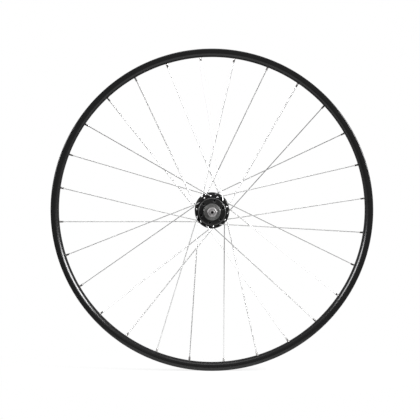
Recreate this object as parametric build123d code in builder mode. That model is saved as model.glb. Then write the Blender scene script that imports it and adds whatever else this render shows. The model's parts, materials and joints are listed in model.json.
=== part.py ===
"""Rear bicycle wheel for a six-bolt brake disc, without tyre, millimetres.

The wheel turns about the Y axis with its rim centred on the origin. The brake disc side
faces -Y, the sprocket side +Y, and angles are counted in the XZ plane from +X towards +Z.
"""

import os
from math import cos, hypot, pi, radians, sin

from build123d import *

# Rim section
bead_seat_r = 622 / 2
lip_height = 6.5
rim_depth = 16.5
rim_width = 24.0
lip_t = 1.7
hook_lean = 0.8
well_depth = 2.6
well_width = 8.4
well_slope_w = 2.6
bridge_t = 1.3
bed_t = 1.8
bed_width = 10.0
side_wall_t = 2.4
shoulder_drop = 7.4
flank_bulge = 1.7

# Spoke pattern
spoke_count = 28
crossings = 2
first_hole_angle = -8.47
rim_stagger = 1.5
spoke_d = 2.0
spoke_sides = 8
head_d = 3.9
head_h = 1.3
elbow_cut = 0.8
cross_gap = 0.2
seat_gap = 0.05

# Nipples
nipple_sides = 6
nipple_length = 12.0
nipple_d = 4.0
nipple_head_d = 6.0
nipple_cone_h = 1.0
nipple_head_h = 1.2
nipple_seat_gap = 0.3
nipple_thread_depth = 10.0
nipple_clearance = 0.1
thread_clearance = 0.03
access_d = 8.4

# Valve hole, halfway between two spokes that part from each other
valve_d = 8.5
valve_gap = 6.5

# Hub shell
old = 135.0
disc_flange_y = -36.0
drive_flange_y = 18.5
flange_t = 3.2
flange_d = 67.8
flange_bevel = 0.5
hole_edge = 4.4
spoke_hole_d = 2.6
flange_edge_gap = 0.15
disc_offset = 15.3
disc_seat_d = 54.0
disc_seat_t = 8.5
disc_seat_edge = 0.8
pilot_d = 34.95
pilot_length = 4.6
pilot_wall = 0.955
disc_bolt_circle = 44.0
disc_bolt_count = 6
disc_bolt_d = 5.0
disc_bolt_depth = 7.0
disc_bolt_angle = 18.0
neck_d = 40.0
barrel_d = 31.0
barrel_slope = 6.0
drive_boss_d = 43.0
drive_boss_length = 5.4
shell_bore_d = 18.0

# Axle and stack
axle_d = 10.0
axle_end_d = 9.6
axle_bore_d = 5.3
axle_overhang = 5.5
axle_fit = 0.02
nut_af = 17.0
nut_t = 5.5
spacer_d = 13.6
left_spacer_length = 8.0
right_spacer_length = 5.0

# Cartridge bearings
bearing_d = 26.0
bearing_w = 8.0
bearing_inner_d = 14.6
bearing_outer_id = 21.4
shield_t = 0.7
shield_gap = 0.2
bearing_fit = 0.02
bearing_lip = 1.0

# Dust cap on the disc side
cap_t = 2.4
cap_rim_w = 4.0
cap_recess = 0.9
cap_bore_gap = 1.2

# Ratchet and pawls
tooth_count = 24
tooth_tip_r = 15.2
tooth_root_r = 16.7
tooth_lead = 0.6
ratchet_d = 36.0
ratchet_w = 8.0
pawl_count = 3
pawl_pivot_r = 12.6
pawl_lag = 36.0
pawl_boss_d = 3.2
pawl_tip_r = 16.0
pawl_tip_lag = 4.5
pawl_tip_t = 2.2
pawl_fold = 12.0
pawl_clearance = 0.05
pawl_room = 0.4
pawl_side_gap = 0.3
spring_t = 0.4
spring_length = 4.2
spring_w = 5.0

# Freehub
nose_d = 27.8
nose_gap = 0.4
nose_bore_gap = 0.6
freehub_end_gap = 4.5
freehub_lip_d = 40.0
freehub_lip_t = 1.8
spline_d = 34.6
spline_valley_d = 32.0
spline_count = 9
groove_w = 5.6
lock_thread_d = 29.4
seal_t = 1.6
seal_gap = 0.2

# Worked-out radii of the rim
rim_outer_r = bead_seat_r + lip_height
bed_r = rim_outer_r - rim_depth
well_r = bead_seat_r - well_depth
chamber_top_r = well_r - bridge_t
chamber_base_r = bed_r + bed_t
shoulder_r = rim_outer_r - shoulder_drop

# Worked-out width of the dust cap, inside the pilot
cap_d = pilot_d - 2 * (pilot_wall + bearing_fit)

# Worked-out places along the axle
left_face_y = -old / 2
right_face_y = old / 2
disc_seat_y = left_face_y + disc_offset
pilot_end_y = disc_seat_y - pilot_length
left_nut_y = left_face_y + nut_t
left_bearing_y = left_nut_y + left_spacer_length
shell_end_y = drive_flange_y + flange_t / 2 + drive_boss_length
ratchet_y = shell_end_y - ratchet_w
right_bearing_y = ratchet_y - bearing_w - bearing_lip
right_nut_y = right_face_y - nut_t
outer_bearing_y = right_nut_y - right_spacer_length - bearing_w
nose_y = ratchet_y + nose_gap
lip_y = shell_end_y + nose_gap
spline_y = lip_y + freehub_lip_t
freehub_end_y = right_face_y - freehub_end_gap
inner_bearing_y = spline_y
seal_y = outer_bearing_y + bearing_w

# Worked-out spoke shape
hole_pitch = 720 / spoke_count
lacing_angle = crossings * hole_pitch
flange_r = flange_d / 2
hub_r = flange_r - hole_edge
wire_corner_r = spoke_d / 2 / cos(pi / spoke_sides)
cross_lift = 2 * wire_corner_r + cross_gap
inner_lift = wire_corner_r + flange_edge_gap

os.makedirs("parts", exist_ok=True)


def save(piece, label):
    """Label a finished piece and write its file."""
    piece.label = label
    export_step(piece, f"parts/{label}.step")


def polar(r, angle, y):
    """The point at a radius and angle round the axle, y along it."""
    return Vector(r * cos(radians(angle)), y, r * sin(radians(angle)))


def at_y(y):
    """The plane across the axle at y, seen from the disc side: its x is X and its y is Z."""
    return Plane.XZ.offset(-y)


def turned(*outline):
    """A piece turned on the axle from its outline of (radius, y) points."""
    with BuildPart() as body:
        with BuildSketch(Plane.XY):
            with BuildLine():
                Polyline(*outline, close=True)
            make_face()
        revolve(axis=Axis.Y)
    return body.part


def sleeve(bore, outside, start, end):
    """A plain tube on the axle, by its bore and outside diameters."""
    return turned((bore / 2, start), (outside / 2, start), (outside / 2, end), (bore / 2, end))


class Spoke:
    """The course of one spoke: hub hole, crossing with its partner, and rim hole."""

    def __init__(self, index):
        self.side = -1 if index % 2 == 0 else 1
        self.lead = 1 if index % 4 in (1, 2) else -1
        self.elbow_out = self.lead < 0
        self.flange = abs(disc_flange_y if self.side < 0 else drive_flange_y)
        self.rim_angle = first_hole_angle - index * 360 / spoke_count
        self.hub_angle = self.rim_angle + self.lead * lacing_angle
        half = radians(hole_pitch / 2)
        swing = radians(lacing_angle) - half
        hub_part = hub_r * sin(swing)
        self.cross_share = hub_part / (hub_part + bed_r * sin(half))
        self.outer_lift = self.edge_lift()

    def plan_length(self, share):
        """How far the spoke runs in the wheel's plane over a share of its length."""
        turn = radians(lacing_angle)
        return share * hypot(bed_r * cos(turn) - hub_r, bed_r * sin(turn))

    def middle(self, outer_lift):
        """Distance from the rim plane of the crossing's middle."""
        at_hub = self.flange + (outer_lift - inner_lift) / 2
        return at_hub * (1 - self.cross_share) + rim_stagger * self.cross_share

    def edge_lift(self):
        """Height over the flange at which an outer spoke clears the flange's edge."""
        climb = (bed_r * cos(radians(lacing_angle)) - hub_r) / self.plan_length(1)
        reach = hole_edge / climb
        lift = inner_lift
        for _ in range(4):
            fall = self.flange + flange_t / 2 + lift - self.middle(lift) + cross_lift / 2
            lift = inner_lift + fall / self.plan_length(self.cross_share) * reach
        return lift

    def points(self):
        """Head seat, elbow start, elbow end, crossing and rim hole."""
        out = 1 if self.elbow_out else -1
        lift = self.outer_lift if self.elbow_out else inner_lift
        seat = self.flange - out * (flange_t / 2 + seat_gap)
        leave = self.flange + out * (flange_t / 2 + lift)
        cross = self.middle(self.outer_lift) - out * cross_lift / 2
        hub = polar(hub_r, self.hub_angle, 0)
        rim = polar(bed_r, self.rim_angle, 0)
        along = (rim - hub).normalized()
        crossing = hub + (rim - hub) * self.cross_share
        return [
            hub + Vector(0, self.side * seat, 0),
            hub + Vector(0, self.side * (leave - out * elbow_cut), 0),
            hub + along * elbow_cut + Vector(0, self.side * leave, 0),
            crossing + Vector(0, self.side * cross, 0),
            rim + Vector(0, self.side * rim_stagger, 0),
        ]

    def rim_plane(self, along):
        """The plane across the spoke, a distance past the spoke bed's face."""
        *_, crossing, rim = self.points()
        course = (rim - crossing).normalized()
        return Plane(origin=rim + course * along, z_dir=course)


spokes = [Spoke(index) for index in range(spoke_count)]
nipple_top = bed_t + nipple_seat_gap + nipple_cone_h + nipple_head_h
nipple_foot = nipple_top - nipple_length
spoke_end = nipple_foot + nipple_thread_depth

# Rim: double-wall hoop with leaning lips, a well and rounded flanks
half_w = rim_width / 2
half_bed = bed_width / 2
flank_r = (shoulder_r + bed_r) / 2 - flank_bulge
flank_w = (half_w + half_bed) / 2 + flank_bulge
seat_w = half_w - lip_t
with BuildPart() as rim:
    with BuildSketch(Plane.XY):
        with BuildLine():
            Polyline(
                (bed_r, 0),
                (bed_r, half_bed),
                (flank_r, flank_w),
                (shoulder_r, half_w),
                (rim_outer_r, half_w),
                (rim_outer_r, seat_w - hook_lean),
                (bead_seat_r, seat_w),
                (bead_seat_r, well_width / 2 + well_slope_w),
                (well_r, well_width / 2),
                (well_r, 0),
            )
            mirror(about=Plane.XZ)
        make_face()
        with BuildLine():
            Polyline(
                (chamber_base_r, 0),
                (chamber_base_r, half_bed),
                (chamber_top_r, half_w - side_wall_t),
                (chamber_top_r, 0),
            )
            mirror(about=Plane.XZ)
        make_face(mode=Mode.SUBTRACT)
    revolve(axis=Axis.Y)
    with BuildSketch(*[spoke.rim_plane(-bed_t) for spoke in spokes]):
        RegularPolygon(nipple_d / 2 + nipple_clearance, nipple_sides, major_radius=False)
    extrude(amount=3 * bed_t, mode=Mode.SUBTRACT)
    with BuildSketch(*[spoke.rim_plane(nipple_top) for spoke in spokes]):
        RegularPolygon(access_d / 2, nipple_sides, major_radius=False)
    extrude(amount=rim_depth, mode=Mode.SUBTRACT)
    valve_angle = first_hole_angle - valve_gap * 360 / spoke_count
    with BuildSketch(Plane(origin=polar(bed_r - bed_t, valve_angle, 0), z_dir=polar(1, valve_angle, 0))):
        Circle(valve_d / 2)
    extrude(amount=rim_depth, mode=Mode.SUBTRACT)
save(rim.part, "rim")

# Spokes: wire with a button head, bent over the flange and kinked where two cross
for number, spoke in enumerate(spokes, 1):
    head, *course = spoke.points()
    tip = spoke.rim_plane(spoke_end).origin
    head_plane = Plane(origin=head, z_dir=course[0] - head)
    with BuildPart() as wire:
        with BuildLine():
            path = Polyline(head, *course[:-1], tip)
        with BuildSketch(head_plane):
            RegularPolygon(spoke_d / 2, spoke_sides, major_radius=False)
        sweep(path=path, transition=Transition.RIGHT)
        with BuildSketch(head_plane):
            RegularPolygon(head_d / 2, spoke_sides)
        extrude(amount=-head_h)
    save(wire.part, f"spoke_{number:02d}")

# Nipples: seated in the spoke bed with their cones over the hole edges
with BuildPart() as nipple:
    with BuildSketch(Plane.XY):
        RegularPolygon(nipple_d / 2, nipple_sides)
    extrude(amount=nipple_length - nipple_cone_h - nipple_head_h)
    with BuildSketch(Plane.XY.offset(nipple_length - nipple_cone_h - nipple_head_h)):
        RegularPolygon(nipple_d / 2, nipple_sides)
    with BuildSketch(Plane.XY.offset(nipple_length - nipple_head_h)):
        RegularPolygon(nipple_head_d / 2, nipple_sides)
    loft()
    with BuildSketch(Plane.XY.offset(nipple_length - nipple_head_h)):
        RegularPolygon(nipple_head_d / 2, nipple_sides)
    extrude(amount=nipple_head_h)
    with BuildSketch(Plane.XY):
        RegularPolygon(wire_corner_r + thread_clearance, nipple_sides, major_radius=False)
    extrude(amount=nipple_thread_depth + thread_clearance, mode=Mode.SUBTRACT)
with BuildPart() as nipples:
    with Locations(*[spoke.rim_plane(nipple_foot).location for spoke in spokes]):
        add(nipple.part)
save(nipples.part, "nipples")

# Hub shell: one turned piece with the disc seat, two flanges and the ratchet boss
disc_flange_out = disc_flange_y - flange_t / 2
disc_flange_in = disc_flange_y + flange_t / 2
drive_flange_in = drive_flange_y - flange_t / 2
drive_flange_out = drive_flange_y + flange_t / 2
bearing_seat_r = bearing_d / 2 + bearing_fit
cap_y = pilot_end_y + cap_t
seat_back_y = disc_seat_y + disc_seat_t
shell = turned(
    (cap_d / 2 + bearing_fit, pilot_end_y),
    (pilot_d / 2, pilot_end_y),
    (pilot_d / 2, disc_seat_y),
    (disc_seat_d / 2 - disc_seat_edge, disc_seat_y),
    (disc_seat_d / 2, disc_seat_y + disc_seat_edge),
    (disc_seat_d / 2, seat_back_y),
    (neck_d / 2, (seat_back_y + disc_flange_out) / 2),
    (neck_d / 2, disc_flange_out),
    (flange_r - flange_bevel, disc_flange_out),
    (flange_r, disc_flange_out + flange_bevel),
    (flange_r, disc_flange_in - flange_bevel),
    (flange_r - flange_bevel, disc_flange_in),
    (neck_d / 2, disc_flange_in),
    (barrel_d / 2, disc_flange_in + barrel_slope),
    (barrel_d / 2, drive_flange_in - barrel_slope),
    (drive_boss_d / 2, drive_flange_in),
    (flange_r - flange_bevel, drive_flange_in),
    (flange_r, drive_flange_in + flange_bevel),
    (flange_r, drive_flange_out - flange_bevel),
    (flange_r - flange_bevel, drive_flange_out),
    (drive_boss_d / 2, drive_flange_out),
    (drive_boss_d / 2, shell_end_y),
    (ratchet_d / 2 + bearing_fit, shell_end_y),
    (ratchet_d / 2 + bearing_fit, ratchet_y),
    (bearing_seat_r, ratchet_y),
    (bearing_seat_r, right_bearing_y),
    (shell_bore_d / 2, right_bearing_y),
    (shell_bore_d / 2, left_bearing_y + bearing_w),
    (bearing_seat_r, left_bearing_y + bearing_w),
    (bearing_seat_r, cap_y),
    (cap_d / 2 + bearing_fit, cap_y),
)
with BuildPart() as hub_shell:
    add(shell)
    for flange_y, offset in ((disc_flange_out, 0), (drive_flange_in, 360 / spoke_count)):
        with BuildSketch(at_y(flange_y)):
            with PolarLocations(hub_r, spoke_count // 2, first_hole_angle - offset):
                RegularPolygon(spoke_hole_d / 2, spoke_sides, major_radius=False)
        extrude(amount=-flange_t, mode=Mode.SUBTRACT)
    with BuildSketch(at_y(disc_seat_y)):
        with PolarLocations(disc_bolt_circle / 2, disc_bolt_count, disc_bolt_angle):
            Circle(disc_bolt_d / 2)
    extrude(amount=-disc_bolt_depth, mode=Mode.SUBTRACT)
save(hub_shell.part, "hub_shell")

# Axle and the stack clamped on it between the two locknuts
stack_bore = axle_d + 2 * axle_fit
axle_half = old / 2 + axle_overhang
axle = turned(
    (axle_bore_d / 2, -axle_half),
    (axle_end_d / 2, -axle_half),
    (axle_end_d / 2, left_face_y),
    (axle_d / 2, left_face_y),
    (axle_d / 2, right_face_y),
    (axle_end_d / 2, right_face_y),
    (axle_end_d / 2, axle_half),
    (axle_bore_d / 2, axle_half),
)
save(axle, "axle")
for nut_label, nut_y in (("left_locknut", left_nut_y), ("right_locknut", right_face_y)):
    with BuildPart() as nut:
        with BuildSketch(at_y(nut_y)):
            RegularPolygon(nut_af / 2, 6, major_radius=False)
            Circle(stack_bore / 2, mode=Mode.SUBTRACT)
        extrude(amount=nut_t)
    save(nut.part, nut_label)
right_bearing_end = right_bearing_y + bearing_w
left_bearing_end = left_bearing_y + bearing_w
save(sleeve(stack_bore, spacer_d, left_nut_y, left_bearing_y), "left_spacer")
save(sleeve(stack_bore, spacer_d, left_bearing_end, right_bearing_y), "centre_sleeve")
save(sleeve(stack_bore, spacer_d, right_bearing_end, inner_bearing_y), "drive_spacer")
save(sleeve(stack_bore, spacer_d, inner_bearing_y + bearing_w, outer_bearing_y), "freehub_sleeve")
save(sleeve(stack_bore, spacer_d, outer_bearing_y + bearing_w, right_nut_y), "right_spacer")

# Cartridge bearings: an inner ring on the axle and a shielded outer ring in its seat
bearing_places = {
    "left_bearing": left_bearing_y,
    "right_bearing": right_bearing_y,
    "inner_freehub_bearing": inner_bearing_y,
    "outer_freehub_bearing": outer_bearing_y,
}
shield_r = bearing_inner_d / 2 + shield_gap
for label, start in bearing_places.items():
    end = start + bearing_w
    save(sleeve(stack_bore, bearing_inner_d, start, end), f"{label}_inner_ring")
    outer_ring = turned(
        (bearing_d / 2, start),
        (bearing_d / 2, end),
        (shield_r, end),
        (shield_r, end - shield_t),
        (bearing_outer_id / 2, end - shield_t),
        (bearing_outer_id / 2, start + shield_t),
        (shield_r, start + shield_t),
        (shield_r, start),
    )
    save(outer_ring, f"{label}_outer_ring")

# Dust cap: a dished ring pressed into the disc end of the shell
cap_bore_r = spacer_d / 2 + cap_bore_gap
left_dust_cap = turned(
    (cap_bore_r, pilot_end_y + cap_recess),
    (cap_d / 2 - cap_rim_w, pilot_end_y + cap_recess),
    (cap_d / 2 - cap_rim_w, pilot_end_y),
    (cap_d / 2, pilot_end_y),
    (cap_d / 2, cap_y),
    (cap_bore_r, cap_y),
)
save(left_dust_cap, "left_dust_cap")

# Ratchet ring: saw teeth that the pawls push towards growing angles
tooth_pitch = 360 / tooth_count
teeth = []
for tooth in range(tooth_count):
    step = tooth * tooth_pitch
    teeth.append((tooth_root_r * cos(radians(step)), tooth_root_r * sin(radians(step))))
    step += tooth_lead
    teeth.append((tooth_tip_r * cos(radians(step)), tooth_tip_r * sin(radians(step))))
with BuildPart() as ratchet_ring:
    with BuildSketch(at_y(ratchet_y)):
        Circle(ratchet_d / 2)
        with BuildLine():
            Polyline(*teeth, close=True)
        make_face(mode=Mode.SUBTRACT)
    extrude(amount=-ratchet_w)
save(ratchet_ring.part, "ratchet_ring")

# Pawls: pivot boss and arm, resting sprung out into a tooth space
boss_r = pawl_boss_d / 2
lag = radians(-pawl_lag)
pivot = Vector(pawl_pivot_r * cos(lag), pawl_pivot_r * sin(lag))
tip_lag = radians(-pawl_tip_lag)
beak = Vector(pawl_tip_r * cos(tip_lag), pawl_tip_r * sin(tip_lag))
heel = beak * ((pawl_tip_r - pawl_tip_t) / pawl_tip_r)
arm = (beak - pivot).normalized()
inward = Vector(-arm.Y, arm.X)
with BuildSketch() as pawl_outline:
    with Locations(pivot):
        Circle(boss_r)
    with BuildLine():
        Polyline(pivot - inward * boss_r, beak, heel, pivot + inward * boss_r, close=True)
    make_face()
pawl_end_y = shell_end_y - pawl_side_gap
pawl_w = ratchet_w - nose_gap - 2 * pawl_side_gap
for number in range(1, pawl_count + 1):
    with BuildPart() as pawl:
        with BuildSketch(at_y(pawl_end_y)):
            add(pawl_outline.sketch, rotation=(number - 1) * 360 / pawl_count)
        extrude(amount=pawl_w)
    save(pawl.part, f"pawl_{number}")

# Pawl pockets and leaf springs, laid out along a folded pawl
folded = Plane(origin=pivot, x_dir=arm, z_dir=(0, 0, 1)).rotated((0, 0, pawl_fold))
pocket_end = (beak - pivot).length + pawl_room
pocket_floor = boss_r + pawl_room + spring_t + seat_gap


def folded_box(start, end, top, floor):
    """Corners of a box beside the folded pawl: along its arm, and inward from its pivot."""
    corners = ((start, top), (end, top), (end, floor), (start, floor))
    return [folded.from_local_coords(Vector(*corner)) for corner in corners]


with BuildSketch() as pawl_pocket:
    with Locations(pivot):
        Circle(boss_r + pawl_clearance)
    with BuildLine():
        Polyline(*folded_box(0, pocket_end, -nose_d / 2, pocket_floor), close=True)
    make_face()
with BuildSketch() as spring_outline:
    with BuildLine():
        spring_foot = pocket_floor - seat_gap
        spring_end = boss_r + spring_length
        Polyline(*folded_box(boss_r, spring_end, spring_foot - spring_t, spring_foot), close=True)
    make_face()
with BuildPart() as pawl_springs:
    with BuildSketch(at_y(pawl_end_y - (pawl_w - spring_w) / 2)):
        with PolarLocations(0, pawl_count):
            add(spring_outline.sketch)
    extrude(amount=spring_w)
save(pawl_springs.part, "pawl_springs")

# Freehub body: pawl nose, lip and splined barrel in one piece
nose_bore_r = spacer_d / 2 + nose_bore_gap
freehub_blank = turned(
    (nose_bore_r, nose_y),
    (nose_d / 2, nose_y),
    (nose_d / 2, lip_y),
    (freehub_lip_d / 2, lip_y),
    (freehub_lip_d / 2, spline_y),
    (spline_d / 2, spline_y),
    (spline_d / 2, freehub_end_y),
    (lock_thread_d / 2, freehub_end_y),
    (lock_thread_d / 2, seal_y),
    (bearing_seat_r, seal_y),
    (bearing_seat_r, inner_bearing_y),
    (nose_bore_r, inner_bearing_y),
)
with BuildPart() as freehub_body:
    add(freehub_blank)
    with BuildSketch(at_y(freehub_end_y)):
        with PolarLocations(spline_d / 2, spline_count):
            Rectangle(spline_d - spline_valley_d, groove_w)
    extrude(amount=freehub_end_y - spline_y, mode=Mode.SUBTRACT)
    with BuildSketch(at_y(shell_end_y)):
        with PolarLocations(0, pawl_count):
            add(pawl_pocket.sketch)
    extrude(amount=ratchet_w - nose_gap, mode=Mode.SUBTRACT)
save(freehub_body.part, "freehub_body")

# Seal that closes the drive end around the outer spacer
seal_bore = spacer_d + 2 * seal_gap
save(sleeve(seal_bore, lock_thread_d - 2 * bearing_fit, seal_y, seal_y + seal_t), "right_dust_seal")
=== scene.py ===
"""Looks of the rear bicycle wheel: its finished pieces, their materials and the studio round it.

Sizes are millimetres and angles degrees. Y runs along the axle with the brake disc side at -Y, and
angles are counted in the XZ plane from +X towards +Z. A mesh is built in millimetres and becomes
metres when it is made a piece.
"""

import json
import logging
from abc import ABC, abstractmethod
from dataclasses import dataclass
from enum import Enum
from math import atan2, copysign, cos, degrees, hypot, pi, radians, sin, tan
from typing import ClassVar, Iterable, Iterator, NamedTuple, Sequence

import bmesh
import bpy
from bmesh.types import BMEdge, BMesh, BMVert
from mathutils import Matrix, Vector


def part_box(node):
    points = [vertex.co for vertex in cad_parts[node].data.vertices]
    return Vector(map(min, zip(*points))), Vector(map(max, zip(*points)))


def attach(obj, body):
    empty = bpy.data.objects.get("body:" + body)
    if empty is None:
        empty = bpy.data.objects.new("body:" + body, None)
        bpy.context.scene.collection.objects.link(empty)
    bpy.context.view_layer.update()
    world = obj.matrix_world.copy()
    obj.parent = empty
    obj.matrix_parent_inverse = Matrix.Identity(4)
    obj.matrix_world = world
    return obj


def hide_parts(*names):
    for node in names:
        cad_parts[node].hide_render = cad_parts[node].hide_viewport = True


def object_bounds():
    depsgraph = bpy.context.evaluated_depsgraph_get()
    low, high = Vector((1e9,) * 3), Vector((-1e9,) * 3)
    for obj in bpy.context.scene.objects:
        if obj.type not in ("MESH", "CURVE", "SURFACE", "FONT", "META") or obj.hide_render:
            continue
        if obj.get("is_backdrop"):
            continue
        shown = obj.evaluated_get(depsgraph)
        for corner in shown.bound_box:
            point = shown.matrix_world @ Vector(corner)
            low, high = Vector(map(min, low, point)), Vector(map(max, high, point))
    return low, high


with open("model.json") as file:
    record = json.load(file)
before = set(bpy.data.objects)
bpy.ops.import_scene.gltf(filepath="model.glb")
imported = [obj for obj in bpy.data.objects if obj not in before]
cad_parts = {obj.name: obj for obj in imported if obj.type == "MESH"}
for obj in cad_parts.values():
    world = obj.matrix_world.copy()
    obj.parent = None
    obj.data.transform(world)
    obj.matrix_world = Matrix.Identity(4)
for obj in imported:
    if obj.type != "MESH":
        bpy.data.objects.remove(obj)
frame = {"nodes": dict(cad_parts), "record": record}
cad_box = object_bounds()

Socket = bpy.types.NodeSocket
log = logging.getLogger("wheel")

MM = 0.001
FULL_TURN = 2 * pi
AXLE = Vector((0.0, 1.0, 0.0))
SHARP_ANGLE = radians(32)  # an edge that turns more stays sharp in the shading
ROUND_STEPS = 4  # facets of a rounded corner
MERGE_GAP = 1e-4  # points nearer than this become one
BOX_ROOM = 0.01  # how far the pieces stay inside the CAD box
OVERRUN = 1.0  # how far a cutter reaches past the face it goes in by
GLINT_ATTRIBUTE = "painted_glint"  # the face attribute that marks an edge for a painted highlight

slot_of = {row["node"]: row["material_slot"] for row in frame["record"]["subparts"]}
body_of = {
    node: body for body, nodes in frame["record"]["behaviour"]["bodies"].items() for node in nodes
}


# Materials

def grey(tone: float) -> tuple[float, float, float, float]:
    """A grey of that lightness, as a shader takes it."""
    return (tone, tone, tone, 1.0)


class Graph:
    """A node tree, with one short call that adds a node and joins it up."""

    def __init__(self, tree: bpy.types.NodeTree) -> None:
        """Start from an empty tree.

        Args:
            tree: the node tree of a material or of the world.
        """
        tree.nodes.clear()
        self.tree = tree

    def add(self, kind: str, inputs: dict | None = None, **settings) -> bpy.types.Node:
        """Add a node.

        Args:
            kind: the node's type, without its ShaderNode prefix.
            inputs: a value for each socket, by name or number, or the output that feeds it.
            settings: the node's own properties.

        Returns:
            The new node.
        """
        node = self.tree.nodes.new("ShaderNode" + kind)
        for key, value in settings.items():
            setattr(node, key, value)
        for key, value in (inputs or {}).items():
            if isinstance(value, Socket):
                self.tree.links.new(value, node.inputs[key])
            else:
                node.inputs[key].default_value = value
        return node

    def math(self, operation: str, first: Socket, second: Socket | float = 0.0) -> Socket:
        """The result of a Math node on a socket and a second socket or number."""
        return self.add("Math", {0: first, 1: second}, operation=operation).outputs[0]

    def blend(self, share: Socket, first: Socket | tuple, second: tuple) -> Socket:
        """A colour that goes from the first to the second with the share."""
        colours = {0: share, 6: first, 7: second}
        return self.add("Mix", colours, data_type="RGBA").outputs[2]


class Grain(Enum):
    """How a finish's fine marks lie on the surface."""

    SPECKLE = "even specks, as blasting leaves"
    TURNED = "rings round the axle, as a lathe leaves"
    DRAWN = "streaks outwards from the axle, as drawing leaves on the spokes"


@dataclass(frozen=True)
class Finish:
    """One surface finish.

    Attributes:
        name: the material's name.
        colour: mean colour.
        metallic: 1 for uncoated metal, 0 for a coating.
        roughness: mean roughness.
        grain: how the fine marks lie.
        grain_size: width of a mark.
        relief: height of a mark.
        mottle: share by which the colour varies over the piece.
        spread: how much the roughness varies from mark to mark.
        specular: strength of the plain reflection.
        edge_tint: share of the reflection that is left at a glancing view.
        glint_tone: lightness painted on the marked edges as a highlight, 0 where none is painted.
        bore_r: radius of a bore round the axle, inside which the colour is darkened as painted shade.
    """

    name: str
    colour: tuple[float, float, float]
    metallic: float
    roughness: float
    grain: Grain
    grain_size: float
    relief: float
    mottle: float = 0.15
    spread: float = 0.06
    specular: float = 0.5
    edge_tint: float = 1.0
    glint_tone: float = 0.0
    bore_r: float = 0.0

    cloud_size: ClassVar[float] = 14.0
    cloud_detail: ClassVar[float] = 3.0
    grain_detail: ClassVar[float] = 4.0
    streak_radius: ClassVar[float] = 160.0
    streak_length: ClassVar[float] = 0.006
    noise_low: ClassVar[float] = 0.32
    noise_high: ClassVar[float] = 0.68
    # How much darker the painted shade inside a bore is.
    bore_shade_share: ClassVar[float] = -0.95

    def tone(self, share: float) -> tuple[float, float, float, float]:
        """The colour made lighter or darker by a share."""
        return (*(channel * (1 + share) for channel in self.colour), 1.0)

    def radius(self, graph: Graph, place: Socket) -> Socket:
        """The distance from the axle, from the Object coordinates."""
        flat = graph.add("VectorMath", {0: place, 1: (1, 0, 1)}, operation="MULTIPLY").outputs[0]
        return graph.add("VectorMath", {0: flat}, operation="LENGTH").outputs["Value"]

    def lie(self, graph: Graph, place: Socket) -> Socket:
        """Lay the grain's coordinates over the piece.

        Args:
            graph: the material's nodes.
            place: the Object coordinates.

        Returns:
            The coordinates in which the grain is even.
        """
        if self.grain is Grain.SPECKLE:
            return place
        radius = self.radius(graph, place)
        split = graph.add("SeparateXYZ", {0: place})
        along = split.outputs["Y"]
        if self.grain is Grain.TURNED:
            return graph.add("CombineXYZ", {"X": radius, "Y": along}).outputs[0]
        angle = graph.math("ARCTAN2", split.outputs["Z"], split.outputs["X"])
        across = graph.math("MULTIPLY", angle, self.streak_radius * MM)
        outward = graph.math("MULTIPLY", radius, self.streak_length)
        return graph.add("CombineXYZ", {"X": across, "Y": along, "Z": outward}).outputs[0]

    def material(self) -> bpy.types.Material:
        """Make the material, once.

        Returns:
            The finish's material.
        """
        made = bpy.data.materials.get(self.name)
        if made:
            return made
        made = bpy.data.materials.new(self.name)
        made.use_nodes = True
        graph = Graph(made.node_tree)
        place = graph.add("TexCoord").outputs["Object"]
        cloud_scale = 1 / (self.cloud_size * MM)
        cloud_inputs = {"Vector": place, "Scale": cloud_scale, "Detail": self.cloud_detail}
        cloud = graph.add("TexNoise", cloud_inputs).outputs[0]
        marks_place = self.lie(graph, place)
        marks_scale = 1 / (self.grain_size * MM)
        marks_inputs = {"Vector": marks_place, "Scale": marks_scale, "Detail": self.grain_detail}
        marks = graph.add("TexNoise", marks_inputs).outputs[0]
        tone = graph.blend(cloud, self.tone(-self.mottle), self.tone(self.mottle))
        # Painted highlight: a lighter tone on the marked edges, in place of the glints that lamps
        # would put on them.
        if self.glint_tone:
            painted_glint = graph.add("Attribute", attribute_name=GLINT_ATTRIBUTE).outputs["Fac"]
            tone = graph.blend(painted_glint, tone, grey(self.glint_tone))
        # Painted shade: a darker tone inside the bore, in place of the shade in the hollow axle.
        if self.bore_r:
            inside = graph.math("LESS_THAN", self.radius(graph, place), self.bore_r * MM)
            tone = graph.blend(inside, tone, self.tone(self.bore_shade_share))
        limits = {
            "Value": marks,
            "From Min": self.noise_low,
            "From Max": self.noise_high,
            "To Min": self.roughness - self.spread,
            "To Max": self.roughness + self.spread,
        }
        gloss = graph.add("MapRange", limits).outputs[0]
        relief = graph.add("Bump", {"Height": marks, "Distance": self.relief * MM}).outputs[0]
        surface = {
            "Base Color": tone,
            "Metallic": self.metallic,
            "Roughness": gloss,
            "Normal": relief,
            "Specular IOR Level": self.specular,
            "Specular Tint": grey(self.edge_tint),
        }
        shader = graph.add("BsdfPrincipled", surface)
        graph.add("OutputMaterial", {"Surface": shader.outputs[0]})
        return made


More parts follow.
